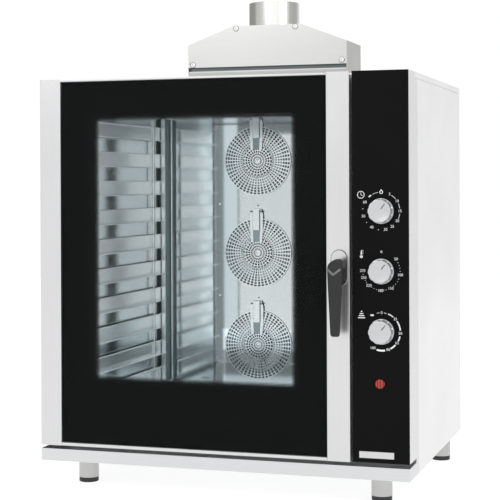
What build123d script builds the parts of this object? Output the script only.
from build123d import *
import math
import os

# Gas convection oven with three fans, a glazed door hinged on the left and a flue hood.
# Millimetres, +Z up, front of the oven towards -Y.
# The origin is on the floor, below the middle of the whole oven, handle and inlets included.

# Outer body
width = 990.0
body_depth = 772.0
body_height = 1009.0
foot_height = 70.0
panel_sheet = 1.5
frame_sheet = 2.0
seam = 0.5
front_box_depth = 86.0
frame_flange_depth = 30.0
cover_rim = 16.0
cover_edge_radius = 0.8
panel_return = 12.0
base_flange = 25.0

# Drip tray under the door
tray_height = 31.5
tray_wall = 1.5
tray_corner = 2.0

# Door
door_depth = 76.0
door_side_gap = 7.0
door_tray_gap = 9.2
door_roof_drop = 2.0
door_wall = 2.0
stile_width = 59.0
stile_edge_radius = 1.6
bottom_rail_height = 8.0
top_rail_height = 5.0
rail_flange = 40.0
rail_edge_radius = 1.0
glass_thickness = 5.0
glass_recess = 1.5
glass_gap = 0.3
print_thickness = 0.4
window_left_inset = 37.0
window_right_inset = 29.5
window_low_inset = 85.0
window_high_inset = 18.0
window_radius = 8.0
inner_glass_thickness = 4.0
inner_glass_lap = 12.0
inner_window_margin = 4.0
clip_width = 14.0
clip_thickness = 1.5
clip_lap = 8.0
clip_shares = (0.1, 0.5, 0.9)

# Door hinge, two pins on one upright axis
hinge_inset = 22.0
hinge_depth = 38.0
hinge_pin_radius = 5.0
hinge_running_gap = 0.06
hinge_pin_length = 18.0
hinge_arm_thickness = 4.0
hinge_arm_clearance = 1.5
hinge_arm_half_width = 10.0
hinge_tab_height = 40.0
hinge_tab_thickness = 3.0
bush_radius = 9.0
bush_length = 16.0
bush_flange_radius = 12.0

# Door handle
handle_inset = 25.5
handle_z = 596.0
handle_reach = 54.0
lever_length = 171.0
lever_head_radius = 19.0
lever_head_round = 2.0
lever_tip_half_width = 12.0
lever_tip_round = 4.0
lever_thickness = 14.0
lever_tip_thickness = 9.0
lever_corner = 3.0
lever_head_lap = 0.5
lever_face_drop = 0.2
neck_radius = 15.0
neck_gap = 0.4
rosette_width = 43.0
rosette_height = 91.0
rosette_thickness = 3.0
rosette_drop = 5.0
rosette_edge_radius = 1.0
spindle_radius = 6.0
spindle_running_gap = 0.06
spindle_hole_clearance = 2.0
spindle_in_lever = 20.0
latch_case_width = 40.0
latch_case_height = 60.0
latch_case_depth = 50.0
latch_neck_radius = 4.5
latch_head_radius = 9.0
latch_head_length = 6.0
latch_head_bevel = 1.5
latch_roller_radius = 6.0
latch_roller_play = 0.8
latch_roller_offset = 6.0
latch_head_play = 1.0
catch_width = 45.0
catch_height = 62.0
catch_depth = 28.0
catch_wall = 4.0
catch_plate_lap = 8.0
roller_axle_radius = 2.5
roller_end_play = 0.5

# Control column
control_width = 142.0
control_top_drop = 1.2
control_lift = 42.4
control_sheet = 1.5
fascia_thickness = 3.0
fascia_edge_radius = 0.6
knob_inset = 68.5
knob_top_drop = 347.5
knob_pitch = 148.0
knob_radius = 31.5
knob_skirt_height = 5.0
knob_skirt_round = 1.0
knob_grip_radius = 29.5
knob_height = 26.0
knob_face_bevel = 1.5
knob_gap = 0.6
knob_lobes = 10
knob_lobe_radius = 12.0
knob_lobe_depth = 1.6
knob_shaft_radius = 3.0
knob_shaft_length = 24.0
knob_shaft_end_gap = 1.0
knob_hole_clearance = 2.0
knob_running_gap = 0.05
pointer_angle = 37.0
pointer_width = 2.0
pointer_length = 13.0
pointer_depth = 0.8
pointer_start = 12.0
control_body_sizes = [(62.0, 45.0, 62.0), (50.0, 34.0, 50.0), (58.0, 40.0, 46.0)]
lamp_drop = 128.5
lamp_inset = 73.0
lamp_bezel_radius = 11.8
lamp_barrel_radius = 9.5
lamp_barrel_length = 34.0
lamp_dome_height = 5.0
lamp_dome_round = 3.0

# Cooking chamber
cavity_left = 100.0
cavity_right_inset = 105.0
cavity_lift = 126.0
cavity_roof_drop = 79.0
cavity_rear_space = 122.0
cavity_corner = 30.0
liner_sheet = 1.2
mouth_radius = 18.0
gasket_inset = 4.0
gasket_width = 14.0
gasket_gap = 0.4
gasket_round = 2.0
side_insulation = 38.0
top_insulation = 38.0
rear_insulation = 30.0
pipe_clearance = 0.3

# Tray racks
rack_pitch = 80.0
rack_top_drop = 32.0
rack_floor_gap = 10.0
runner_height = 40.0
runner_sheet = 1.0
runner_ledge = 18.0
runner_lip = 8.0
rack_wall_gap = 7.0
rack_front = 104.0
post_radius = 3.0
post_rear_inset = 64.0
post_overrun = 8.0
post_weld = 0.5
peg_radius = 5.0
peg_front_inset = 46.0
peg_rear_inset = 120.0

# Fans, baffle and guards
wheel_back_gap = 9.0
wheel_back_thickness = 3.0
wheel_guard_margin = 4.5
blade_depth = 32.0
blade_length = 43.0
blade_edge_inset = 1.0
blade_thickness = 2.0
blade_count = 24
wheel_hub_radius = 18.0
wheel_nose = 4.0
fan_shaft_radius = 7.0
fan_shaft_length = 90.0
fan_running_gap = 0.06
shaft_hole_radius = 10.0
baffle_rear_gap = 50.0
baffle_sheet = 1.5
baffle_half_width = 143.0
baffle_clearance = 2.0
baffle_return = 12.0
intake_guard_margin = 3.5
standoff_radius = 6.0
standoff_offset = 120.0
standoff_lift = 8.5
guard_spacing = 68.0
guard_top_gap = 30.5
guard_low_gap = 22.5
guard_depth = 6.0
guard_ring_width = 2.2
guard_ring_pitch = 9.0
guard_hub_radius = 12.0
guard_spokes = 16
guard_spoke_width = 2.0
guard_spoke_root = 1.0
injector_half_width = 18.0
injector_depth = 14.0
injector_low = 31.0
injector_overrun = 28.5
injector_leg = 4.5
injector_window = 36.0
injector_sheet = 1.5
water_tube_radius = 4.0
water_tube_drop = 6.0
manifold_offset = 88.0
manifold_rear_gap = 50.0
manifold_radius = 6.0
manifold_overrun = 8.0
water_valve_gap = 6.0
water_valve_size = (60.0, 40.0, 50.0)
water_valve_overlap = 1.0
motor_radius = 55.0
motor_length = 76.0
motor_round = 4.0
motor_bore_gap = 2.0
motor_plate_radius = 72.0
motor_plate_thickness = 3.0

# Gas heating
ring_wheel_gap = 15.0
ring_tube_radius = 7.0
ring_rear_gap = 24.0
riser_offset = 40.0
riser_radius = 5.6
burner_tube_radius = 9.0
burner_gap = 6.0
burner_side_lap = 6.0
burner_corner = 8.0
burner_size = (70.0, 72.0, 96.0)
outlet_tube_radius = 12.0
outlet_rise = 30.0
gas_valve_size = (80.0, 60.0, 70.0)
gas_valve_offset = 142.0
gas_valve_low = 92.0
gas_pipe_radius = 8.0
inlet_radius = 13.22
inlet_wall = 3.5
inlet_reach = 34.0
inlet_nut_radius = 20.0
inlet_nut_height = 8.0
gas_inlet_offset = 282.0
water_inlet_reach = 30.0
inlet_hole_clearance = 0.8
duct_radius = 30.0
duct_wall = 1.5
vent_offset = 100.0
vent_radius = 20.0
duct_rise = 24.0
drain_radius = 14.0
drain_bore_radius = 12.5
drain_collar_radius = 19.0
drain_collar_height = 5.0
drain_inset = 100.0
drain_rear_gap = 90.0
drain_drop = 21.0

# Cavity lamps
lamp_depth = 300.0
lamp_glass_radius = 28.0
lamp_glass_thickness = 4.0
lamp_cup_radius = 34.0
lamp_cup_length = 46.0
lamp_cup_wall = 4.0
bulb_radius = 9.0
bulb_length = 26.0

# Flue hood and pipe
hood_offset = 38.5
hood_rear_setback = 35.0
hood_depth = 177.0
hood_half_width = 243.0
hood_shoulder = 133.0
hood_top_half_width = 104.0
hood_height = 186.0
hood_sheet = 1.5
hood_base_height = 51.0
hood_slot = 15.0
hood_flange = 16.0
hood_foot = 14.0
pipe_radius = 75.0
pipe_wall = 1.2
pipe_height = 71.0
pipe_insert = 10.0
pipe_collar = 7.0
hood_screw_radius = 7.5
hood_screw_height = 4.5
hood_screw_shank = 3.0
hood_screw_top_offset = 91.0
hood_screw_top_drop = 8.0
hood_screw_side_inset = 8.0
hood_screw_side_lift = 11.0
screw_radius = 4.5
screw_height = 2.4
screw_dome_share = 0.75

# Feet
foot_tube_radius = 26.8
foot_tube_wall = 2.0
foot_pad_radius = 26.0
foot_pad_height = 12.0
foot_pad_gap = 0.5
foot_pad_bevel = 1.0
foot_cap = 4.0
foot_nut_height = 12.0
foot_nut_low = 38.0
foot_stem_radius = 8.0
foot_running_gap = 0.06
foot_stem_gap = 2.0
foot_front_inset = 92.0
foot_rear_inset = 40.0
foot_front_depth = 102.0
foot_back_inset = 110.0

# Back panel louvres and cable gland
louvre_rows = 12
louvre_pitch = 24.0
louvre_length = 120.0
louvre_height = 4.0
louvre_drop = 423.0
louvre_left_inset = 120.0
louvre_right_inset = 255.0
gland_inset = 110.0
gland_z = 150.0
gland_radius = 16.0
gland_thread_radius = 12.0
gland_neck_radius = 11.2
gland_inside = 6.0
gland_reach = 22.0
gland_bore_radius = 7.0
back_screw_inset = 14.0
back_screw_rows = 5

# Planes worked out from the sizes above
left_x = -width / 2
right_x = width / 2
door_y = -(body_depth + inlet_reach - handle_reach) / 2
frame_y = door_y + front_box_depth
back_y = door_y + body_depth
door_width = width - control_width - door_side_gap
base_z = foot_height
roof_z = base_z + body_height
rim_z = roof_z - cover_rim
tray_top_z = base_z + tray_height
door_low_z = tray_top_z + door_tray_gap
door_high_z = roof_z - door_roof_drop
door_core_z = door_high_z - hinge_arm_thickness - 2 * hinge_arm_clearance
door_right_x = left_x + door_width
stile_l_x = left_x + stile_width
stile_r_x = door_right_x - stile_width
column_x = door_right_x + door_side_gap
inner_face_y = door_y + door_depth - door_wall
door_rear_y = door_y + door_depth
liner_left_x = left_x + cavity_left
liner_right_x = door_right_x - cavity_right_inset
cavity_width = liner_right_x - liner_left_x
cavity_x = liner_left_x + cavity_width / 2
cavity_low = base_z + cavity_lift
cavity_high = roof_z - cavity_roof_drop
cavity_height = cavity_high - cavity_low
liner_front_y = frame_y + frame_sheet
liner_rear_y = back_y - cavity_rear_space
insulation_rear_y = liner_rear_y + liner_sheet + rear_insulation
hinge_x = left_x + hinge_inset
hinge_y = door_y + hinge_depth
handle_x = door_right_x - handle_inset
knob_x = right_x - knob_inset
baffle_y = liner_rear_y - baffle_rear_gap
guard_y = baffle_y - guard_depth
injector_y = guard_y - injector_depth
wheel_back_y = liner_rear_y - wheel_back_gap
ring_y = liner_rear_y - ring_rear_gap
riser_x = cavity_x + riser_offset
vent_x = riser_x + vent_offset
hood_x = cavity_x + hood_offset
hood_rear_y = back_y - hood_rear_setback
hood_y = hood_rear_y - hood_depth
pipe_y = hood_y + hood_depth / 2
rack_left_web = liner_left_x + rack_wall_gap
knob_names = ["timer", "temperature", "steam"]
knob_heights = [roof_z - knob_top_drop - knob_pitch * number for number in range(len(knob_names))]
lamp_z = knob_heights[-1] - lamp_drop

# The guards share the height of the chamber, and the wheels and heating rings follow their size
fan_names = ["top", "middle", "bottom"]
fan_count = len(fan_names)
guard_room = cavity_height - guard_top_gap - guard_low_gap - guard_spacing * (fan_count - 1)
guard_radius = guard_room / (2 * fan_count)
fan_top_z = cavity_high - guard_top_gap - guard_radius
fan_pitch = 2 * guard_radius + guard_spacing
fan_heights = [fan_top_z - fan_pitch * number for number in range(fan_count)]
intake_radius = guard_radius - intake_guard_margin
wheel_radius = guard_radius - wheel_guard_margin
blade_inner_radius = wheel_radius - blade_length
ring_radius = wheel_radius + ring_wheel_gap
injector_high = guard_radius + injector_overrun
water_tube_lift = injector_high - water_tube_drop

# The racks have as many levels as the chamber has room for
rack_top_z = cavity_high - rack_top_drop
rack_room = rack_top_z - runner_height - rack_floor_gap - cavity_low
rack_levels = int(rack_room // rack_pitch) + 1
lamp_levels = (1, rack_levels - 3)
peg_levels = (1, rack_levels - 2)

nodes = {}


def block(x_low, x_high, y_low, y_high, z_low, z_high):
    """A plain block between two opposite corners."""
    middle = Pos((x_low + x_high) / 2, (y_low + y_high) / 2, (z_low + z_high) / 2)
    return middle * Box(x_high - x_low, y_high - y_low, z_high - z_low)


def rod_x(y, z, x_low, x_high, radius):
    """A round bar along X."""
    return Pos((x_low + x_high) / 2, y, z) * Rot(0, 90, 0) * Cylinder(radius, x_high - x_low)


def rod_y(x, z, y_low, y_high, radius):
    """A round bar along Y."""
    return Pos(x, (y_low + y_high) / 2, z) * Rot(90, 0, 0) * Cylinder(radius, y_high - y_low)


def rod_z(x, y, z_low, z_high, radius):
    """A round bar along Z."""
    return Pos(x, y, (z_low + z_high) / 2) * Cylinder(radius, z_high - z_low)


def hexagon_y(x, z, y_low, y_high, radius):
    """A hexagonal bar along Y, its radius taken at the corners."""
    section = Plane(origin=(x, y_low, z), x_dir=(1, 0, 0), z_dir=(0, 1, 0)) * RegularPolygon(radius, 6)
    return extrude(section, y_high - y_low)


def group(solids):
    """Several separate solids kept in one node."""
    return Compound(children=list(solids))


def rounded_hole(x_low, x_high, y_low, y_high, z_low, z_high, radius):
    """A cutting block along Y with rounded corners, for openings in sheets."""
    cutter = block(x_low, x_high, y_low, y_high, z_low, z_high)
    return fillet(cutter.edges().filter_by(Axis.Y), radius)


def mirror_in_cavity(shape):
    """The same piece on the other side of the cooking chamber."""
    return mirror(shape, about=Plane.YZ.offset(cavity_x))


# Feet: a steel tube with a nut plate inside, and a black foot that screws down out of it
foot_places = {
    "front_left": (left_x + foot_front_inset, door_y + foot_front_depth),
    "front_right": (right_x - foot_front_inset, door_y + foot_front_depth),
    "rear_left": (left_x + foot_rear_inset, back_y - foot_back_inset),
    "rear_right": (right_x - foot_rear_inset, back_y - foot_back_inset),
}
foot_bore_radius = foot_stem_radius + foot_running_gap
foot_tube_inner = foot_tube_radius - foot_tube_wall


def foot_tube(x, y):
    """One leg: tube, closed top and nut plate with a running bore."""
    low = foot_pad_height + foot_pad_gap
    tube = rod_z(x, y, low, base_z, foot_tube_radius)
    tube -= rod_z(x, y, low, foot_nut_low, foot_tube_inner)
    tube -= rod_z(x, y, foot_nut_low + foot_nut_height, base_z - foot_cap, foot_tube_inner)
    tube -= rod_z(x, y, low, base_z - foot_cap, foot_bore_radius)
    return tube


def levelling_foot(x, y):
    """The black pad with its screwed stem."""
    pad = rod_z(x, y, 0, foot_pad_height, foot_pad_radius)
    pad = chamfer(pad.edges().group_by(Axis.Z)[0], foot_pad_bevel)
    stem_top = base_z - foot_cap - foot_stem_gap
    return pad + rod_z(x, y, foot_pad_height, stem_top, foot_stem_radius)


nodes["foot_tubes"] = group(foot_tube(x, y) for x, y in foot_places.values())
for place, (x, y) in foot_places.items():
    nodes[f"levelling_foot_{place}"] = levelling_foot(x, y)

# Base pan with flanges turned up against the side panels
base_left = left_x + frame_sheet
base_right = right_x - frame_sheet
base_front_y = liner_front_y
base_rear_y = back_y - panel_sheet
drain_x = liner_left_x + drain_inset
drain_y = liner_rear_y - drain_rear_gap
base_pan = block(base_left, base_right, base_front_y, base_rear_y, base_z, base_z + base_flange)
base_pan -= block(
    base_left + frame_sheet,
    base_right - frame_sheet,
    base_front_y + frame_sheet,
    base_rear_y - frame_sheet,
    base_z + frame_sheet,
    base_z + base_flange,
)
base_pan -= rod_z(drain_x, drain_y, base_z, base_z + frame_sheet, drain_radius + pipe_clearance)
nodes["base_pan"] = base_pan

# Drip tray, open at the top, between the door and the front feet
drip_tray = block(left_x, right_x, door_y, frame_y, base_z, tray_top_z)
drip_tray = fillet(drip_tray.edges().filter_by(Axis.Z).group_by(Axis.Y)[0], tray_corner)
drip_tray -= block(
    left_x + tray_wall,
    right_x - tray_wall,
    door_y + tray_wall,
    frame_y - tray_wall,
    base_z + tray_wall,
    tray_top_z,
)
nodes["drip_tray"] = drip_tray

# Front frame: the face round the chamber mouth, with flanges along both sides
catch_x_low = handle_x - catch_width / 2
catch_x_high = handle_x + catch_width / 2
catch_z_low = handle_z - catch_height / 2
catch_z_high = handle_z + catch_height / 2
front_frame = block(left_x, right_x, frame_y, frame_y + frame_flange_depth, base_z, rim_z - seam)
front_frame -= block(
    left_x + frame_sheet,
    right_x - frame_sheet,
    frame_y + frame_sheet,
    frame_y + frame_flange_depth,
    base_z,
    rim_z - seam,
)
front_frame -= rounded_hole(
    liner_left_x, liner_right_x, frame_y, liner_front_y, cavity_low, cavity_high, mouth_radius
)
front_frame -= block(
    catch_x_low + catch_wall,
    catch_x_high - catch_wall,
    frame_y,
    liner_front_y,
    catch_z_low + catch_wall,
    catch_z_high - catch_wall,
)
post_left_x = liner_left_x + mouth_radius
post_right_x = liner_right_x - mouth_radius
mouth_middle_z = (cavity_low + cavity_high) / 2


def frame_strip(x_low, x_high, z_low, z_high):
    """One of the two posts and two rails that the front frame is welded from."""
    return front_frame & block(x_low, x_high, frame_y, frame_y + frame_flange_depth, z_low, z_high)


nodes["front_frame"] = group(
    [
        frame_strip(left_x, post_left_x, base_z, rim_z),
        frame_strip(post_right_x, right_x, base_z, rim_z),
        frame_strip(post_left_x, post_right_x, base_z, mouth_middle_z),
        frame_strip(post_left_x, post_right_x, mouth_middle_z, rim_z),
    ]
)


def side_panel(outer_x, inwards):
    """Outer side sheet with short returns at its front and rear edges."""
    front = frame_y + frame_flange_depth + seam
    rear = back_y - panel_sheet
    low_x, high_x = sorted((outer_x, outer_x + inwards * panel_sheet))
    sheet = block(low_x, high_x, front, rear, base_z, rim_z - seam)
    turn = sorted((outer_x + inwards * panel_sheet, outer_x + inwards * panel_return))
    low = base_z + base_flange
    front_turn = block(*turn, front, front + panel_sheet, low, rim_z - seam)
    rear_turn = block(*turn, rear - panel_sheet, rear, low, rim_z - seam)
    return sheet + front_turn + rear_turn


nodes["side_panel_left"] = side_panel(left_x, 1)
nodes["side_panel_right"] = side_panel(right_x, -1)

# Inlets and the cable gland in the back panel
gas_inlet_x = cavity_x + gas_inlet_offset
gas_line_z = gas_valve_low + gas_valve_size[2] / 2
manifold_x = cavity_x + manifold_offset
manifold_y = liner_rear_y + manifold_rear_gap
water_tube_heights = [height + water_tube_lift for height in fan_heights]
valve_low_x = manifold_x + manifold_radius + water_valve_gap
valve_inlet_x = valve_low_x + water_valve_size[0] / 2
valve_z = water_tube_heights[0] - water_valve_size[2] / 2 - 4 * water_tube_radius
gland_x = right_x - gland_inset
inlet_hole = inlet_radius + inlet_hole_clearance
back_inner_y = back_y - panel_sheet

back_panel = block(left_x, right_x, back_inner_y, back_y, base_z, rim_z - seam)
louvre_cuts = []
for slot_x in (left_x + louvre_left_inset, right_x - louvre_right_inset):
    for row in range(louvre_rows):
        slot_low = rim_z - louvre_drop + row * louvre_pitch
        slot_high = slot_low + louvre_height
        louvre_cuts.append(
            block(slot_x, slot_x + louvre_length, back_inner_y, back_y, slot_low, slot_high)
        )
back_panel -= louvre_cuts
back_panel -= rod_y(gas_inlet_x, gas_line_z, back_inner_y, back_y, inlet_hole)
back_panel -= rod_y(valve_inlet_x, valve_z, back_inner_y, back_y, inlet_hole)
back_panel -= rod_y(gland_x, gland_z, back_inner_y, back_y, gland_thread_radius)
nodes["back_panel"] = back_panel

# Cable gland: nut inside, hexagon outside, clear bore for a lead
gland_low_y = back_inner_y - gland_inside
gland_middle_y = back_y + gland_reach / 2
gland_high_y = back_y + gland_reach
gland_body = rod_y(gland_x, gland_z, gland_low_y, back_y, gland_thread_radius)
gland_body += hexagon_y(gland_x, gland_z, back_y, gland_middle_y, gland_radius)
gland_body += rod_y(gland_x, gland_z, gland_middle_y, gland_high_y, gland_neck_radius)
gland_body -= rod_y(gland_x, gland_z, gland_low_y, gland_high_y, gland_bore_radius)
nodes["cable_gland"] = gland_body

# Top cover with a rim folded down all round, open below the hood
hood_low_x = hood_x - hood_half_width
hood_high_x = hood_x + hood_half_width
top_cover = block(left_x, right_x, frame_y, back_y, rim_z, roof_z)
top_cover = fillet(top_cover.edges().group_by(Axis.Z)[-1], cover_edge_radius)
top_cover -= block(
    left_x + panel_sheet,
    right_x - panel_sheet,
    frame_y + panel_sheet,
    back_y - panel_sheet,
    rim_z,
    roof_z - panel_sheet,
)
top_cover -= block(
    hood_low_x + hood_flange,
    hood_high_x - hood_flange,
    hood_y + hood_flange,
    hood_rear_y - hood_flange,
    roof_z - panel_sheet,
    roof_z,
)
nodes["top_cover"] = top_cover

# Control box: sheet box open at the rear, on the front frame
box_low_z = base_z + control_lift
box_high_z = roof_z - control_top_drop
box_front_y = door_y + fascia_thickness
box_inner_y = box_front_y + control_sheet
lamp_x = right_x - lamp_inset
control_box = block(column_x, right_x, box_front_y, frame_y, box_low_z, box_high_z)
control_box -= block(
    column_x + control_sheet,
    right_x - control_sheet,
    box_inner_y,
    frame_y,
    box_low_z + control_sheet,
    box_high_z - control_sheet,
)
fascia = block(column_x, right_x, door_y, box_front_y, box_low_z, box_high_z)
fascia = fillet(fascia.edges().group_by(Axis.Y)[0], fascia_edge_radius)
knob_hole = knob_shaft_radius + knob_hole_clearance
for height in knob_heights:
    control_box -= rod_y(knob_x, height, box_front_y, box_inner_y, knob_hole)
    fascia -= rod_y(knob_x, height, door_y, box_front_y, knob_hole)
lamp_hole = lamp_barrel_radius + pipe_clearance
control_box -= rod_y(lamp_x, lamp_z, box_front_y, box_inner_y, lamp_hole)
fascia -= rod_y(lamp_x, lamp_z, door_y, box_front_y, lamp_hole)
nodes["control_box"] = control_box
nodes["control_fascia"] = fascia

# Timer, thermostat and steam regulator bodies behind the knobs
shaft_bore = knob_shaft_radius + knob_running_gap
knob_back_y = door_y - knob_gap
shaft_end_y = knob_back_y + knob_shaft_length


def control_body(height, size):
    """One switch body on the back of the box face, bored for its shaft."""
    body = block(
        knob_x - size[0] / 2,
        knob_x + size[0] / 2,
        box_inner_y,
        box_inner_y + size[1],
        height - size[2] / 2,
        height + size[2] / 2,
    )
    return body - rod_y(knob_x, height, box_inner_y, shaft_end_y + knob_shaft_end_gap, shaft_bore)


nodes["knob_controls"] = group(
    control_body(height, size) for height, size in zip(knob_heights, control_body_sizes)
)


def knob(height):
    """Silver knob: skirt, lobed grip, pointer groove and its shaft."""
    skirt = rod_y(knob_x, height, knob_back_y - knob_skirt_height, knob_back_y, knob_radius)
    skirt = fillet(skirt.edges().group_by(Axis.Y)[0], knob_skirt_round)
    face_y = knob_back_y - knob_height
    grip = rod_y(knob_x, height, face_y, knob_back_y - knob_skirt_height, knob_grip_radius)
    grip = chamfer(grip.edges().group_by(Axis.Y)[0], knob_face_bevel)
    lobe_distance = knob_grip_radius + knob_lobe_radius - knob_lobe_depth
    scallops = []
    for number in range(knob_lobes):
        angle = math.radians(pointer_angle + (number + 0.5) * 360 / knob_lobes)
        scallops.append(
            rod_y(
                knob_x + lobe_distance * math.sin(angle),
                height + lobe_distance * math.cos(angle),
                face_y,
                knob_back_y - knob_skirt_height,
                knob_lobe_radius,
            )
        )
    grip -= scallops
    groove = block(-pointer_width / 2, pointer_width / 2, face_y, face_y + pointer_depth, 0, pointer_length)
    groove = Pos(knob_x, 0, height) * Rot(0, pointer_angle, 0) * Pos(0, 0, pointer_start) * groove
    shaft = rod_y(knob_x, height, knob_back_y, shaft_end_y, knob_shaft_radius)
    return skirt + grip - groove + shaft


for name, height in zip(knob_names, knob_heights):
    nodes[f"knob_{name}"] = knob(height)

# Red indicator lamp: domed lens on a barrel through the fascia
lamp_front_y = door_y - lamp_dome_height
lens = rod_y(lamp_x, lamp_z, lamp_front_y, door_y, lamp_bezel_radius)
lens = fillet(lens.edges().group_by(Axis.Y)[0], lamp_dome_round)
nodes["indicator_lamp"] = lens + rod_y(
    lamp_x, lamp_z, door_y, door_y + lamp_barrel_length, lamp_barrel_radius
)


def stile(x_low, x_high):
    """Upright door profile, open at the rear, its face rising past its closed top."""
    shell = block(x_low, x_high, door_y, inner_face_y, door_low_z, door_high_z)
    shell = fillet(shell.edges().filter_by(Axis.Z).group_by(Axis.Y)[0], stile_edge_radius)
    shell -= block(
        x_low + door_wall,
        x_high - door_wall,
        door_y + door_wall,
        inner_face_y,
        door_low_z + door_wall,
        door_core_z - door_wall,
    )
    return shell - block(x_low, x_high, door_y + door_wall, inner_face_y, door_core_z, door_high_z)


spindle_hole = spindle_radius + spindle_hole_clearance
stile_left = stile(left_x, stile_l_x)
stile_left -= rod_z(hinge_x, hinge_y, door_low_z, door_low_z + door_wall, bush_radius)
stile_left -= rod_z(hinge_x, hinge_y, door_core_z - door_wall, door_core_z, bush_radius)
nodes["door_stile_left"] = stile_left
stile_right = stile(stile_r_x, door_right_x)
stile_right -= rod_y(handle_x, handle_z, door_y, door_y + door_wall, spindle_hole)
nodes["door_stile_right"] = stile_right

# Rails between the stiles: a bright lip on show and a flange behind the glass
glass_front_y = door_y + glass_recess
glass_rear_y = glass_front_y + glass_thickness
seat_y = glass_rear_y + print_thickness
glass_low_z = door_low_z + bottom_rail_height
glass_high_z = door_core_z
rail_bottom = block(stile_l_x, stile_r_x, door_y, inner_face_y, door_low_z, glass_low_z)
rail_bottom = fillet(rail_bottom.edges().filter_by(Axis.X).group_by(Axis.Y)[0], rail_edge_radius)
rail_bottom -= block(
    stile_l_x, stile_r_x, seat_y + door_wall, inner_face_y, door_low_z + door_wall, glass_low_z
)
rail_bottom += block(
    stile_l_x, stile_r_x, seat_y, seat_y + door_wall, glass_low_z, glass_low_z + rail_flange
)
nodes["door_rail_bottom"] = rail_bottom
rail_top = block(
    stile_l_x, stile_r_x, door_y, seat_y + door_wall, door_core_z, door_core_z + top_rail_height
)
rail_top = fillet(rail_top.edges().filter_by(Axis.X).group_by(Axis.Y)[0], rail_edge_radius)
rail_top += block(stile_l_x, stile_r_x, seat_y, inner_face_y, door_core_z - door_wall, door_core_z)
rail_top += block(
    stile_l_x, stile_r_x, seat_y, seat_y + door_wall, door_core_z - rail_flange, door_core_z
)
nodes["door_rail_top"] = rail_top

# Outer glass and the black border printed on its back
pane_left_x = stile_l_x + glass_gap
pane_right_x = stile_r_x - glass_gap
pane_low_z = glass_low_z + glass_gap
pane_high_z = glass_high_z - glass_gap
nodes["door_glass_outer"] = block(
    pane_left_x, pane_right_x, glass_front_y, glass_rear_y, pane_low_z, pane_high_z
)
glass_print = block(pane_left_x, pane_right_x, glass_rear_y, seat_y, pane_low_z, pane_high_z)
glass_print -= rounded_hole(
    liner_left_x + window_left_inset,
    liner_right_x - window_right_inset,
    glass_rear_y,
    seat_y,
    cavity_low + window_low_inset,
    cavity_high - window_high_inset,
    window_radius,
)
nodes["door_glass_print"] = glass_print

# Inner frame: the sheet that closes the rear of the door, with clips for the inner glass
inner_low_x = liner_left_x + inner_window_margin
inner_high_x = liner_right_x - inner_window_margin
inner_low_z = cavity_low + inner_window_margin
inner_high_z = cavity_high - inner_window_margin
inner_frame = block(left_x, door_right_x, inner_face_y, door_rear_y, door_low_z, door_core_z)
inner_frame -= rounded_hole(
    inner_low_x, inner_high_x, inner_face_y, door_rear_y, inner_low_z, inner_high_z, mouth_radius
)
inner_frame -= rod_y(handle_x, handle_z, inner_face_y, door_rear_y, spindle_hole)
inner_pane_y = inner_face_y - inner_glass_thickness
clip_heights = [cavity_low + cavity_height * share for share in clip_shares]
inner_pane_left_x = inner_low_x - inner_glass_lap
inner_pane_right_x = inner_high_x + inner_glass_lap
clip_low_y = inner_pane_y - clip_thickness
for height in clip_heights:
    low, high = height - clip_width / 2, height + clip_width / 2
    inner_frame += block(
        inner_pane_left_x - glass_gap - clip_thickness,
        inner_pane_left_x - glass_gap,
        clip_low_y,
        inner_face_y,
        low,
        high,
    )
    inner_frame += block(
        inner_pane_left_x - glass_gap - clip_thickness,
        inner_pane_left_x + clip_lap,
        clip_low_y,
        inner_pane_y,
        low,
        high,
    )
    inner_frame += block(
        inner_pane_right_x + glass_gap,
        inner_pane_right_x + glass_gap + clip_thickness,
        clip_low_y,
        inner_face_y,
        low,
        high,
    )
    inner_frame += block(
        inner_pane_right_x - clip_lap,
        inner_pane_right_x + glass_gap + clip_thickness,
        clip_low_y,
        inner_pane_y,
        low,
        high,
    )
nodes["door_inner_frame"] = inner_frame
nodes["door_glass_inner"] = block(
    inner_pane_left_x,
    inner_pane_right_x,
    inner_pane_y,
    inner_face_y,
    inner_low_z - inner_glass_lap,
    inner_high_z + inner_glass_lap,
)

# Hinge bushes in the left stile, each with a flange on the inside of its end plate
bush_bore = hinge_pin_radius + hinge_running_gap


def hinge_bush(end_z, upwards):
    """A flanged bush that runs into the door from one of its ends."""
    body_span = sorted((end_z, end_z + upwards * bush_length))
    plate_z = end_z + upwards * door_wall
    flange_span = sorted((plate_z, plate_z + upwards * door_wall))
    body = rod_z(hinge_x, hinge_y, *body_span, bush_radius)
    body += rod_z(hinge_x, hinge_y, *flange_span, bush_flange_radius)
    return body - rod_z(hinge_x, hinge_y, *body_span, bush_bore)


nodes["door_hinge_bushes"] = group([hinge_bush(door_low_z, 1), hinge_bush(door_core_z, -1)])


def hinge_arm(door_end_z, outwards):
    """An arm on the front frame whose pin stands in the door's bush."""
    near_z = door_end_z + outwards * hinge_arm_clearance
    plate_span = sorted((near_z, near_z + outwards * hinge_arm_thickness))
    pin_end_z = door_end_z - outwards * hinge_pin_length
    pin_span = sorted((pin_end_z, near_z))
    tab_far_z = near_z - outwards * hinge_tab_height
    tab_span = sorted((tab_far_z, near_z + outwards * hinge_arm_thickness))
    low_x, high_x = hinge_x - hinge_arm_half_width, hinge_x + hinge_arm_half_width
    arm = rod_z(hinge_x, hinge_y, *plate_span, hinge_arm_half_width)
    arm += block(low_x, high_x, hinge_y, frame_y, *plate_span)
    arm += block(low_x, high_x, frame_y - hinge_tab_thickness, frame_y, *tab_span)
    return arm + rod_z(hinge_x, hinge_y, *pin_span, hinge_pin_radius)


nodes["hinge_arms"] = group([hinge_arm(door_low_z, -1), hinge_arm(door_core_z, 1)])

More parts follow.
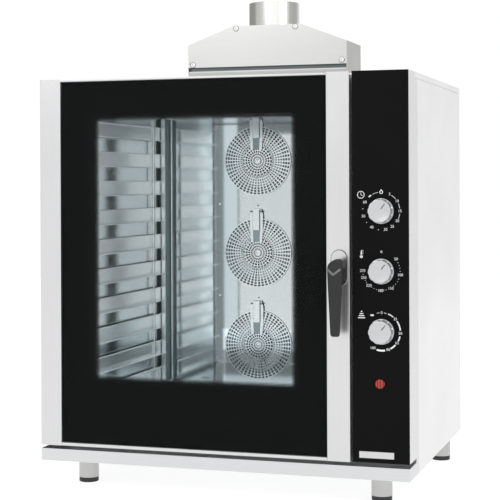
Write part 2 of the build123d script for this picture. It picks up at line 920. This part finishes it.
# Latch case inside the right stile, bored for the handle spindle
case_rear_y = door_y + door_wall + latch_case_depth
latch_case = block(
    handle_x - latch_case_width / 2,
    handle_x + latch_case_width / 2,
    door_y + door_wall,
    case_rear_y,
    handle_z - latch_case_height / 2,
    handle_z + latch_case_height / 2,
)
latch_case -= rod_y(
    handle_x, handle_z, door_y + door_wall, case_rear_y, spindle_radius + spindle_running_gap
)
nodes["latch_case"] = latch_case

# Long rosette under the handle
rosette_y = door_y - rosette_thickness
rosette = extrude(
    Plane(origin=(handle_x, door_y, handle_z - rosette_drop), x_dir=(0, 0, 1), z_dir=(0, -1, 0))
    * SlotOverall(rosette_height, rosette_width),
    rosette_thickness,
)
rosette = fillet(rosette.edges().group_by(Axis.Y)[0], rosette_edge_radius)
rosette -= rod_y(handle_x, handle_z, rosette_y, door_y, spindle_hole)
nodes["handle_rosette"] = rosette

# Handle: round neck, round head and a lever that tapers downwards
lever_front_y = door_y - handle_reach
lever_rear_y = lever_front_y + lever_thickness
neck_end_y = rosette_y - neck_gap
tip_setback = (lever_thickness - lever_tip_thickness) / 2
lever_top = Plane(origin=(handle_x, (lever_front_y + lever_rear_y) / 2, handle_z), z_dir=(0, 0, -1))
lever_bottom = lever_top.offset(lever_length - lever_tip_thickness / 2)
lever_top_size = (2 * (lever_head_radius - lever_head_lap), lever_thickness - 2 * lever_face_drop)
lever_arm = loft(
    [
        lever_top * RectangleRounded(*lever_top_size, lever_corner),
        lever_bottom * RectangleRounded(2 * lever_tip_half_width, lever_tip_thickness, lever_corner),
    ]
)
tip_y = lever_front_y + tip_setback
lever_tip = block(
    handle_x - lever_tip_half_width,
    handle_x + lever_tip_half_width,
    tip_y,
    tip_y + lever_tip_thickness,
    handle_z - lever_length,
    handle_z - lever_length + lever_tip_thickness / 2,
)
lever_tip = fillet(lever_tip.edges().filter_by(Axis.Y).group_by(Axis.Z)[0], lever_tip_round)
lever_head = rod_y(handle_x, handle_z, lever_front_y, lever_rear_y, lever_head_radius)
lever_head = fillet(lever_head.edges().group_by(Axis.Y)[0], lever_head_round)
lever = lever_head + lever_arm + lever_tip
lever += rod_y(handle_x, handle_z, lever_rear_y, neck_end_y, neck_radius)
spindle_front_y = neck_end_y - spindle_in_lever
lever -= rod_y(handle_x, handle_z, spindle_front_y, neck_end_y, spindle_radius)
nodes["handle_lever"] = lever

# Spindle: round bar through the door, then a neck and a head in the catch
roller_y = liner_front_y + frame_sheet + latch_roller_offset
head_front_y = roller_y + latch_roller_radius + latch_head_play
spindle = rod_y(handle_x, handle_z, spindle_front_y, door_rear_y, spindle_radius)
spindle += rod_y(handle_x, handle_z, door_rear_y, head_front_y, latch_neck_radius)
latch_head = rod_y(
    handle_x, handle_z, head_front_y, head_front_y + latch_head_length, latch_head_radius
)
spindle += chamfer(latch_head.edges(), latch_head_bevel)
nodes["handle_spindle"] = spindle

# Catch on the rear of the front frame: a cup with two rollers above and below the latch neck
catch_front_y = liner_front_y
catch_rear_y = catch_front_y + catch_depth
catch = block(
    catch_x_low - catch_plate_lap,
    catch_x_high + catch_plate_lap,
    catch_front_y,
    catch_front_y + frame_sheet,
    catch_z_low - catch_plate_lap,
    catch_z_high + catch_plate_lap,
)
catch += block(catch_x_low, catch_x_high, catch_front_y, catch_rear_y, catch_z_low, catch_z_high)
catch -= block(
    catch_x_low + catch_wall,
    catch_x_high - catch_wall,
    catch_front_y,
    catch_rear_y - catch_wall,
    catch_z_low + catch_wall,
    catch_z_high - catch_wall,
)
roller_offset_z = latch_head_radius + latch_roller_play + latch_roller_radius
rollers = []
for side in (-1, 1):
    roller_z = handle_z + side * roller_offset_z
    catch -= rod_x(roller_y, roller_z, catch_x_low, catch_x_high, roller_axle_radius)
    axle = rod_x(roller_y, roller_z, catch_x_low, catch_x_high, roller_axle_radius)
    drum = rod_x(
        roller_y,
        roller_z,
        catch_x_low + catch_wall + roller_end_play,
        catch_x_high - catch_wall - roller_end_play,
        latch_roller_radius,
    )
    rollers.append(axle + drum)
nodes["door_catch"] = group([catch] + rollers)

# Gasket round the chamber mouth, on the front frame
gasket_y = door_rear_y + gasket_gap
seal_low = gasket_inset
seal_high = gasket_inset + gasket_width
gasket = rounded_hole(
    liner_left_x - seal_high,
    liner_right_x + seal_high,
    gasket_y,
    frame_y,
    cavity_low - seal_high,
    cavity_high + seal_high,
    mouth_radius + seal_high,
)
gasket = fillet(gasket.edges().group_by(Axis.Y)[0], gasket_round)
gasket -= rounded_hole(
    liner_left_x - seal_low,
    liner_right_x + seal_low,
    gasket_y,
    frame_y,
    cavity_low - seal_low,
    cavity_high + seal_low,
    mouth_radius + seal_low,
)
nodes["door_gasket"] = gasket

# Places that pierce the chamber walls
ring_reach_z = math.sqrt(ring_radius**2 - riser_offset**2)
inlet_swing = ring_radius * math.sqrt(0.5)
burner_x = cavity_x - inlet_swing
burner_z = fan_heights[-1] - inlet_swing
lamp_y = door_y + lamp_depth
runner_tops = [rack_top_z - rack_pitch * level for level in range(rack_levels)]
lamp_heights = [runner_tops[level] - (runner_height + rack_pitch) / 2 for level in lamp_levels]

# Chamber liner: one sheet bent round the sides and rear, a floor and a roof, and the drain spigot
rear_sheet = (liner_rear_y, liner_rear_y + liner_sheet)
floor_sheet = (cavity_low - liner_sheet, cavity_low)
roof_sheet = (cavity_high, cavity_high + liner_sheet)
side_sheet = (liner_right_x, liner_right_x + liner_sheet)


def chamber_prism(margin, z_low, z_high):
    """The plan of the chamber, wider by a margin, carried from one height to another."""
    prism = block(
        liner_left_x - margin, liner_right_x + margin, liner_front_y, liner_rear_y + margin, z_low, z_high
    )
    return fillet(prism.edges().filter_by(Axis.Z).group_by(Axis.Y)[-1], cavity_corner + margin)


liner_wrap = chamber_prism(liner_sheet, cavity_low, cavity_high) - chamber_prism(0, cavity_low, cavity_high)
for height in fan_heights:
    liner_wrap -= rod_y(cavity_x, height, *rear_sheet, shaft_hole_radius)
for height in water_tube_heights:
    liner_wrap -= rod_y(cavity_x, height, *rear_sheet, water_tube_radius + pipe_clearance)
for height in lamp_heights:
    liner_wrap -= rod_x(lamp_y, height, *side_sheet, lamp_glass_radius + pipe_clearance)
liner_wrap -= rod_y(burner_x, burner_z, *rear_sheet, burner_tube_radius + pipe_clearance)
liner_floor = chamber_prism(liner_sheet, *floor_sheet)
liner_floor -= rod_z(drain_x, drain_y, *floor_sheet, drain_bore_radius)
liner_roof = chamber_prism(liner_sheet, *roof_sheet)
liner_roof -= rod_z(riser_x, ring_y, *roof_sheet, outlet_tube_radius + pipe_clearance)
liner_roof -= rod_z(vent_x, ring_y, *roof_sheet, vent_radius - duct_wall)
drain_end_z = base_z - drain_drop
drain_spigot = rod_z(drain_x, drain_y, drain_end_z, floor_sheet[0], drain_radius)
drain_spigot += rod_z(drain_x, drain_y, base_z - drain_collar_height, base_z, drain_collar_radius)
drain_spigot -= rod_z(drain_x, drain_y, drain_end_z, floor_sheet[0], drain_bore_radius)
nodes["cavity_liner"] = group([liner_wrap, liner_floor, liner_roof, drain_spigot])

# Insulation slabs on all five walls
liner_out_left = liner_left_x - liner_sheet
liner_out_right = liner_right_x + liner_sheet
liner_out_rear = liner_rear_y + liner_sheet
wool_low_z = cavity_low - liner_sheet - top_insulation
wool_high_z = cavity_high + liner_sheet + top_insulation
wool_left_x = liner_out_left - side_insulation
wool_right_x = liner_out_right + side_insulation
wool_left = block(wool_left_x, liner_out_left, liner_front_y, liner_out_rear, wool_low_z, wool_high_z)
wool_right = block(
    liner_out_right, wool_right_x, liner_front_y, liner_out_rear, wool_low_z, wool_high_z
)
lamp_cup_hole = lamp_cup_radius + pipe_clearance
for height in lamp_heights:
    wool_right -= rod_x(lamp_y, height, liner_out_right, wool_right_x, lamp_cup_hole)
wool_floor = block(
    liner_out_left, liner_out_right, liner_front_y, liner_out_rear, wool_low_z, cavity_low - liner_sheet
)
wool_floor -= rod_z(drain_x, drain_y, wool_low_z, cavity_low, drain_radius + pipe_clearance)
wool_roof = block(
    liner_out_left, liner_out_right, liner_front_y, liner_out_rear, cavity_high + liner_sheet, wool_high_z
)
wool_roof -= rod_z(riser_x, ring_y, cavity_high, wool_high_z, duct_radius + pipe_clearance)
wool_roof -= rod_z(vent_x, ring_y, cavity_high, wool_high_z, vent_radius + pipe_clearance)
wool_rear = block(
    wool_left_x, wool_right_x, liner_out_rear, insulation_rear_y, wool_low_z, wool_high_z
)
for height in fan_heights:
    wool_rear -= rod_y(cavity_x, height, liner_out_rear, insulation_rear_y, shaft_hole_radius)
for height in water_tube_heights:
    wool_rear -= rod_y(
        cavity_x, height, liner_out_rear, insulation_rear_y, water_tube_radius + pipe_clearance
    )
wool_rear -= rod_y(
    burner_x, burner_z, liner_out_rear, insulation_rear_y, burner_tube_radius + pipe_clearance
)
wool_rear -= rod_z(riser_x, ring_y, cavity_high, wool_high_z, duct_radius + pipe_clearance)
wool_rear -= rod_z(vent_x, ring_y, cavity_high, wool_high_z, vent_radius + pipe_clearance)
nodes["insulation"] = group([wool_left, wool_right, wool_floor, wool_roof, wool_rear])

# Tray racks: two round posts a side, and a folded runner for each level
ledge_high_x = rack_left_web + runner_sheet + runner_ledge
lip_high_x = rack_left_web + runner_sheet + runner_lip
rack_front_y = door_y + rack_front
rack_rear_y = baffle_y


def runner(top):
    """One folded runner: upright web, wide ledge below and short lip above."""
    web = block(
        rack_left_web, rack_left_web + runner_sheet, rack_front_y, rack_rear_y, top - runner_height, top
    )
    ledge = block(
        rack_left_web,
        ledge_high_x,
        rack_front_y,
        rack_rear_y,
        top - runner_height,
        top - runner_height + runner_sheet,
    )
    lip = block(rack_left_web, lip_high_x, rack_front_y, rack_rear_y, top - runner_sheet, top)
    return web + ledge + lip


post_x = rack_left_web + runner_sheet + post_radius - post_weld
post_low_z = runner_tops[-1] - runner_height - post_overrun
post_high_z = runner_tops[0] + post_overrun
rack = runner(runner_tops[0])
rack += [runner(top) for top in runner_tops[1:]]
for post_y in (rack_front_y + post_radius, rack_rear_y - post_rear_inset):
    rack += rod_z(post_x, post_y, post_low_z, post_high_z, post_radius)
nodes["rack_left"] = rack
nodes["rack_right"] = mirror_in_cavity(rack)

# Pegs from the chamber walls to the backs of the runners
pegs_left = []
for level in peg_levels:
    peg_z = runner_tops[level] - runner_height / 2
    for peg_y in (rack_front_y + peg_front_inset, rack_rear_y - peg_rear_inset):
        pegs_left.append(rod_x(peg_y, peg_z, liner_left_x, rack_left_web, peg_radius))
nodes["rack_pegs"] = group(pegs_left + [mirror_in_cavity(peg) for peg in pegs_left])

# Baffle in front of the fans, on four standoffs
baffle_low_z = cavity_low + baffle_clearance
baffle_high_z = cavity_high - baffle_clearance
baffle_left_x = cavity_x - baffle_half_width
baffle_right_x = cavity_x + baffle_half_width
baffle_rear_y = baffle_y + baffle_sheet
baffle = block(
    baffle_left_x, baffle_right_x, baffle_y, baffle_y + baffle_return, baffle_low_z, baffle_high_z
)
baffle -= block(
    baffle_left_x + baffle_sheet,
    baffle_right_x - baffle_sheet,
    baffle_rear_y,
    baffle_y + baffle_return,
    baffle_low_z,
    baffle_high_z,
)
for height in fan_heights:
    baffle -= rod_y(cavity_x, height, baffle_y, baffle_rear_y, intake_radius)
for height in water_tube_heights:
    baffle -= rod_y(cavity_x, height, baffle_y, baffle_rear_y, water_tube_radius + pipe_clearance)
standoff_heights = [
    (upper + lower) / 2 + standoff_lift for upper, lower in zip(fan_heights[:-1], fan_heights[1:])
]
standoff_places = []
for height in standoff_heights:
    for side in (-1, 1):
        standoff_places.append((cavity_x + side * standoff_offset, height))
for x, height in standoff_places:
    baffle += rod_y(x, height, baffle_rear_y, liner_rear_y, standoff_radius)
nodes["fan_baffle"] = baffle


def fan_guard(height):
    """A flat grille of rings and spokes over one fan intake."""
    guard = rod_y(cavity_x, height, guard_y, baffle_y, guard_radius)
    guard -= rod_y(cavity_x, height, guard_y, baffle_y, guard_radius - guard_ring_width)
    pieces = [rod_y(cavity_x, height, guard_y, baffle_y, guard_hub_radius)]
    ring_outer = guard_hub_radius + guard_ring_pitch
    while ring_outer < guard_radius - guard_ring_pitch:
        ring = rod_y(cavity_x, height, guard_y, baffle_y, ring_outer)
        pieces.append(ring - rod_y(cavity_x, height, guard_y, baffle_y, ring_outer - guard_ring_width))
        ring_outer += guard_ring_pitch
    spoke = block(
        -guard_spoke_width / 2,
        guard_spoke_width / 2,
        guard_y,
        baffle_y,
        guard_hub_radius - guard_spoke_root,
        guard_radius - guard_ring_width / 2,
    )
    for number in range(guard_spokes):
        turn = Rot(0, number * 360 / guard_spokes, 0)
        pieces.append(Pos(cavity_x, 0, height) * turn * spoke)
    return guard.fuse(*pieces)


nodes["fan_guards"] = group(fan_guard(height) for height in fan_heights)


def water_injector(height):
    """A small channel in front of the guard that brings water to the fan."""
    low_x, high_x = cavity_x - injector_half_width, cavity_x + injector_half_width
    low_z, high_z = height + injector_low, height + injector_high
    channel = block(low_x, high_x, injector_y, guard_y, low_z, high_z)
    channel -= block(
        low_x + injector_leg, high_x - injector_leg, injector_y + injector_sheet, guard_y, low_z, high_z
    )
    channel -= block(
        low_x + injector_leg,
        high_x - injector_leg,
        injector_y,
        injector_y + injector_sheet,
        low_z + injector_sheet,
        low_z + injector_window,
    )
    return channel


nodes["water_injectors"] = group(water_injector(height) for height in fan_heights)

# Water pipes: one valve, one manifold and a tube through the rear wall to each injector
tube_front_y = injector_y + 2 * injector_sheet
water_low_z = water_tube_heights[-1]
pipework = rod_z(
    manifold_x,
    manifold_y,
    water_low_z - manifold_overrun,
    water_tube_heights[0] + manifold_overrun,
    manifold_radius,
)
for height in water_tube_heights:
    pipework += rod_y(cavity_x, height, tube_front_y, manifold_y, water_tube_radius)
    pipework += Pos(cavity_x, manifold_y, height) * Sphere(water_tube_radius)
    pipework += rod_x(manifold_y, height, cavity_x, manifold_x, water_tube_radius)
pipework += block(
    valve_low_x,
    valve_low_x + water_valve_size[0],
    manifold_y - water_valve_size[1] / 4,
    manifold_y + water_valve_size[1] * 3 / 4,
    valve_z - water_valve_size[2] / 2,
    valve_z + water_valve_size[2] / 2,
)
pipework += rod_x(manifold_y, valve_z, manifold_x, valve_low_x + water_valve_overlap, water_tube_radius)
water_end_y = back_y + water_inlet_reach
pipework += rod_y(valve_inlet_x, valve_z, manifold_y, water_end_y, inlet_radius)
pipework += hexagon_y(valve_inlet_x, valve_z, back_y, back_y + inlet_nut_height, inlet_nut_radius)
pipework -= rod_y(valve_inlet_x, valve_z, back_y, water_end_y, inlet_radius - inlet_wall)
nodes["water_pipework"] = pipework

# Fan motors behind the insulation, each on a round plate
motor_plate_y = insulation_rear_y + motor_plate_thickness


def fan_motor(height):
    """Motor on its plate, bored for the fan shaft."""
    motor = rod_y(cavity_x, height, insulation_rear_y, motor_plate_y, motor_plate_radius)
    shell = rod_y(cavity_x, height, motor_plate_y, motor_plate_y + motor_length, motor_radius)
    motor += fillet(shell.edges().group_by(Axis.Y)[-1], motor_round)
    bore_end_y = wheel_back_y + fan_shaft_length + motor_bore_gap
    return motor - rod_y(
        cavity_x, height, insulation_rear_y, bore_end_y, fan_shaft_radius + fan_running_gap
    )


nodes["fan_motors"] = group(fan_motor(height) for height in fan_heights)


def fan_wheel(height):
    """Radial wheel with its hub, straight blades and shaft."""
    disc_y = wheel_back_y - wheel_back_thickness
    front_y = disc_y - blade_depth
    nose_y = front_y - wheel_nose / 2
    wheel = rod_y(cavity_x, height, disc_y, wheel_back_y, wheel_radius)
    blade = block(
        -blade_thickness / 2,
        blade_thickness / 2,
        front_y,
        disc_y,
        blade_inner_radius,
        wheel_radius - blade_edge_inset,
    )
    blades = [
        Pos(cavity_x, 0, height) * Rot(0, number * 360 / blade_count, 0) * blade
        for number in range(blade_count)
    ]
    hub = rod_y(cavity_x, height, front_y, disc_y, wheel_hub_radius)
    shaft = rod_y(cavity_x, height, nose_y, wheel_back_y + fan_shaft_length, fan_shaft_radius)
    return wheel.fuse(hub, shaft, *blades)


for name, height in zip(fan_names, fan_heights):
    nodes[f"fan_wheel_{name}"] = fan_wheel(height)

# Heat exchanger: a ring of tube round each fan, joined by risers
exchanger = Pos(cavity_x, ring_y, fan_heights[0]) * Rot(90, 0, 0) * Torus(ring_radius, ring_tube_radius)
for height in fan_heights[1:]:
    exchanger += Pos(cavity_x, ring_y, height) * Rot(90, 0, 0) * Torus(ring_radius, ring_tube_radius)
for upper, lower in zip(fan_heights[:-1], fan_heights[1:]):
    exchanger += rod_z(riser_x, ring_y, lower + ring_reach_z, upper - ring_reach_z, riser_radius)
exchanger += rod_z(
    riser_x, ring_y, fan_heights[0] + ring_reach_z, cavity_high + outlet_rise, outlet_tube_radius
)
burner_front_y = insulation_rear_y + burner_gap
exchanger += rod_y(burner_x, burner_z, ring_y, burner_front_y, burner_tube_radius)
nodes["heat_exchanger"] = exchanger

# Burner on the end of the exchanger tube
burner_low_z = burner_z - burner_size[2] / 2
burner_high_x = burner_x + burner_tube_radius + burner_side_lap
burner = block(
    burner_high_x - burner_size[0],
    burner_high_x,
    burner_front_y,
    burner_front_y + burner_size[1],
    burner_low_z,
    burner_low_z + burner_size[2],
)
burner = fillet(burner.edges().filter_by(Axis.Y), burner_corner)
nodes["burner"] = burner

# Gas valve on the base pan, its pipe to the burner and its inlet through the back panel
valve_x = cavity_x + gas_valve_offset
gas_y = burner_front_y + burner_size[1] / 2
gas_floor_z = base_z + frame_sheet
gas_train = block(
    valve_x,
    valve_x + gas_valve_size[0],
    gas_y - gas_valve_size[1] / 2,
    gas_y + gas_valve_size[1] / 2,
    gas_valve_low,
    gas_valve_low + gas_valve_size[2],
)
gas_train += block(
    valve_x,
    valve_x + gas_valve_size[0],
    gas_y - gas_valve_size[1] / 4,
    gas_y + gas_valve_size[1] / 4,
    gas_floor_z,
    gas_valve_low,
)
gas_pipe_x = burner_high_x - burner_size[0] / 2
gas_train += rod_x(gas_y, gas_line_z, gas_pipe_x, valve_x, gas_pipe_radius)
gas_train += Pos(gas_pipe_x, gas_y, gas_line_z) * Sphere(gas_pipe_radius)
gas_train += rod_z(gas_pipe_x, gas_y, gas_line_z, burner_low_z, gas_pipe_radius)
gas_train += rod_x(gas_y, gas_line_z, valve_x + gas_valve_size[0], gas_inlet_x, inlet_radius)
gas_train += Pos(gas_inlet_x, gas_y, gas_line_z) * Sphere(inlet_radius)
gas_end_y = back_y + inlet_reach
gas_train += rod_y(gas_inlet_x, gas_line_z, gas_y, gas_end_y, inlet_radius)
gas_train += hexagon_y(gas_inlet_x, gas_line_z, back_y, back_y + inlet_nut_height, inlet_nut_radius)
gas_train -= rod_y(gas_inlet_x, gas_line_z, back_y, gas_end_y, inlet_radius - inlet_wall)
nodes["gas_train"] = gas_train

# Ducts from the chamber roof into the hood: flue gas and cavity steam
duct_top_z = roof_z + duct_rise


def duct(x, radius):
    """A short round duct on the chamber roof."""
    outer = rod_z(x, ring_y, cavity_high + liner_sheet, duct_top_z, radius)
    return outer - rod_z(x, ring_y, cavity_high + liner_sheet, duct_top_z, radius - duct_wall)


nodes["flue_ducts"] = group([duct(riser_x, duct_radius), duct(vent_x, vent_radius)])

# Flue hood: a roof-shaped shell, with an air slot above its low front wall
hood_top_z = roof_z + hood_height
shoulder_z = roof_z + hood_shoulder
slot_low_z = roof_z + hood_base_height
slot_high_z = slot_low_z + hood_slot


def hood_outline(inset, low_z):
    """The hood seen from the front, drawn smaller by an inset."""
    slope = math.atan2(hood_height - hood_shoulder, hood_half_width - hood_top_half_width)
    corner = inset * math.tan(slope / 2)
    side = hood_half_width - inset
    top_side = hood_top_half_width - corner
    return [
        (hood_x - side, low_z),
        (hood_x + side, low_z),
        (hood_x + side, shoulder_z - corner),
        (hood_x + top_side, hood_top_z - inset),
        (hood_x - top_side, hood_top_z - inset),
        (hood_x - side, shoulder_z - corner),
    ]


def hood_prism(inset, low_z, y_low, y_high):
    """The outline carried from one depth to another."""
    sketch = make_face(Polyline(*hood_outline(inset, low_z), close=True))
    rear = Plane(origin=(0, y_high, 0), x_dir=(1, 0, 0), z_dir=(0, -1, 0))
    return extrude(rear * sketch, y_high - y_low)


plate_y = hood_y
shell_y = hood_y + hood_sheet
hood = hood_prism(0, roof_z, shell_y, hood_rear_y)
hood -= hood_prism(hood_sheet, roof_z, shell_y + hood_sheet, hood_rear_y - hood_sheet)
hood -= hood_prism(hood_flange, slot_high_z, shell_y, shell_y + hood_sheet)
hood -= block(
    hood_low_x + hood_sheet,
    hood_high_x - hood_sheet,
    shell_y,
    shell_y + hood_sheet,
    slot_low_z,
    slot_high_z,
)
hood -= rod_z(hood_x, pipe_y, hood_top_z - hood_sheet, hood_top_z, pipe_radius)
for foot_x in (hood_low_x - hood_foot, hood_high_x):
    hood += block(foot_x, foot_x + hood_foot, shell_y, hood_rear_y, roof_z, roof_z + hood_sheet)
front_plate = hood_prism(0, slot_high_z, plate_y, shell_y)
hood_screw_places = []
for side in (-1, 1):
    side_x = hood_x + side * (hood_half_width - hood_screw_side_inset)
    hood_screw_places.append((hood_x + side * hood_screw_top_offset, hood_top_z - hood_screw_top_drop))
    hood_screw_places.append((side_x, slot_high_z + hood_screw_side_lift))
for x, height in hood_screw_places:
    front_plate -= rod_y(x, height, plate_y, shell_y, hood_screw_shank)
    hood -= rod_y(x, height, shell_y, shell_y + hood_sheet, hood_screw_shank)
nodes["flue_hood"] = hood
nodes["flue_front_plate"] = front_plate


def screw_head(x, z, seat_y, outwards, radius, height):
    """A domed screw head on a face, towards the front (-1) or the rear (1)."""
    head = rod_y(x, z, *sorted((seat_y, seat_y + outwards * height)), radius)
    outer_edge = head.edges().sort_by(Axis.Y)[0 if outwards < 0 else -1]
    return fillet(outer_edge, height * screw_dome_share)


def hood_screw(x, height):
    """One screw through the front plate into the hood."""
    head = screw_head(x, height, plate_y, -1, hood_screw_radius, hood_screw_height)
    return head + rod_y(x, height, plate_y, plate_y + 3 * hood_sheet, hood_screw_shank)


nodes["hood_screws"] = group(hood_screw(x, height) for x, height in hood_screw_places)

# Round flue pipe with a collar that sits on the hood
flue_pipe = rod_z(hood_x, pipe_y, hood_top_z - pipe_insert, hood_top_z + pipe_height, pipe_radius)
flue_pipe += rod_z(hood_x, pipe_y, hood_top_z, hood_top_z + hood_sheet, pipe_radius + pipe_collar)
flue_pipe -= rod_z(
    hood_x, pipe_y, hood_top_z - pipe_insert, hood_top_z + pipe_height, pipe_radius - pipe_wall
)
nodes["flue_pipe"] = flue_pipe

# Screws on the baffle and round the back panel
screws = [screw_head(x, height, baffle_y, -1, screw_radius, screw_height) for x, height in standoff_places]
back_screw_span = rim_z - base_z - 4 * back_screw_inset
for row in range(back_screw_rows):
    height = base_z + 2 * back_screw_inset + back_screw_span * row / (back_screw_rows - 1)
    for x in (left_x + back_screw_inset / 2, right_x - back_screw_inset / 2):
        screws.append(screw_head(x, height, back_y, 1, screw_radius, screw_height))
nodes["panel_screws"] = group(screws)

# Cavity lamps in the right wall: cup with its bulb outside, glass flush in the wall
holders = []
lamp_glasses = []
cup_low_x = liner_out_right
for height in lamp_heights:
    cup = rod_x(lamp_y, height, cup_low_x, cup_low_x + lamp_cup_length, lamp_cup_radius)
    cup -= rod_x(
        lamp_y,
        height,
        cup_low_x,
        cup_low_x + lamp_cup_length - lamp_cup_wall,
        lamp_glass_radius - lamp_cup_wall,
    )
    bulb_end_x = cup_low_x + lamp_cup_length - lamp_cup_wall
    cup += rod_x(lamp_y, height, bulb_end_x - bulb_length, bulb_end_x, bulb_radius)
    holders.append(cup)
    lamp_glasses.append(
        rod_x(lamp_y, height, cup_low_x - lamp_glass_thickness, cup_low_x, lamp_glass_radius)
    )
nodes["lamp_holders"] = group(holders)
nodes["lamp_glasses"] = group(lamp_glasses)

os.makedirs("parts", exist_ok=True)
for name, shape in nodes.items():
    export_step(shape, f"parts/{name}.step")
print(len(nodes), "nodes written")
